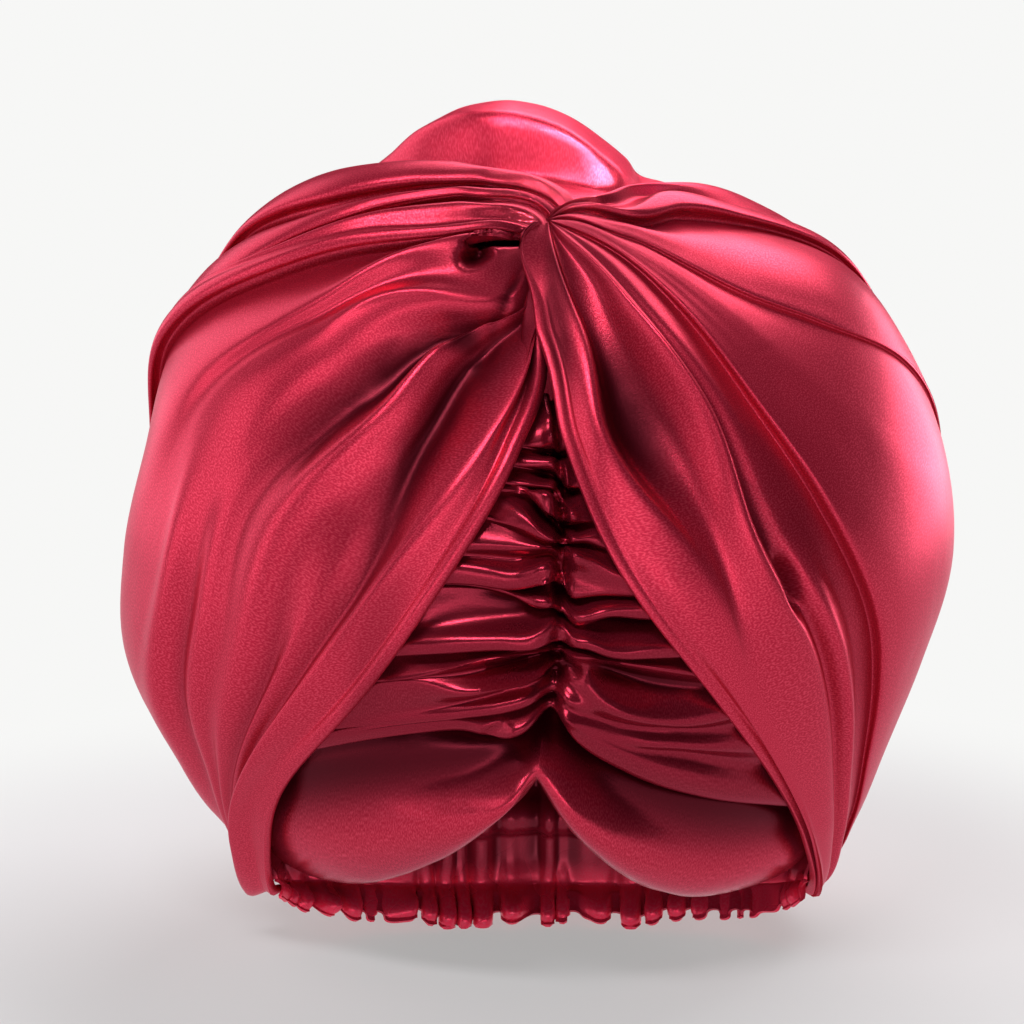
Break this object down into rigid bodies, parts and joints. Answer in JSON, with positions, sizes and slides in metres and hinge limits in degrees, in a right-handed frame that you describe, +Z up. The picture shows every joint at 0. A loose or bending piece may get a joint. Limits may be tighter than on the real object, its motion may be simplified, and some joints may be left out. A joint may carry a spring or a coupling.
{
  "type": "sleep bonnet",
  "caption": "Puffed satin sleep bonnet with a twisted knot, pleated drapes over a ruched front panel and an elastic ruffled nape hem.",
  "frame": {"origin": "on the floor under the middle of the bonnet, which rests on the ruffle of its nape hem and on the flattened lower back of its crown", "axes": "+Z up, the face side with the knot and the ruched panel towards -Y, +X to the right as seen from the front"},
  "size_m": [0.2495, 0.2258, 0.2495],
  "materials": {
    "crown_satin": "crimson satin with a fine weave and a soft sheen",
    "drape_satin": "crimson satin in smooth pleats, glossy along the folds",
    "panel_satin": "crimson satin gathered into a middle seam",
    "hem_satin": "crimson satin gathered over elastic"
  },
  "bodies": {
    "root": {"crown": "crown_satin", "drape_left": "drape_satin", "drape_right": "drape_satin", "ruched_panel": "panel_satin", "nape_hem": "hem_satin"}
  },
  "joints": []
}
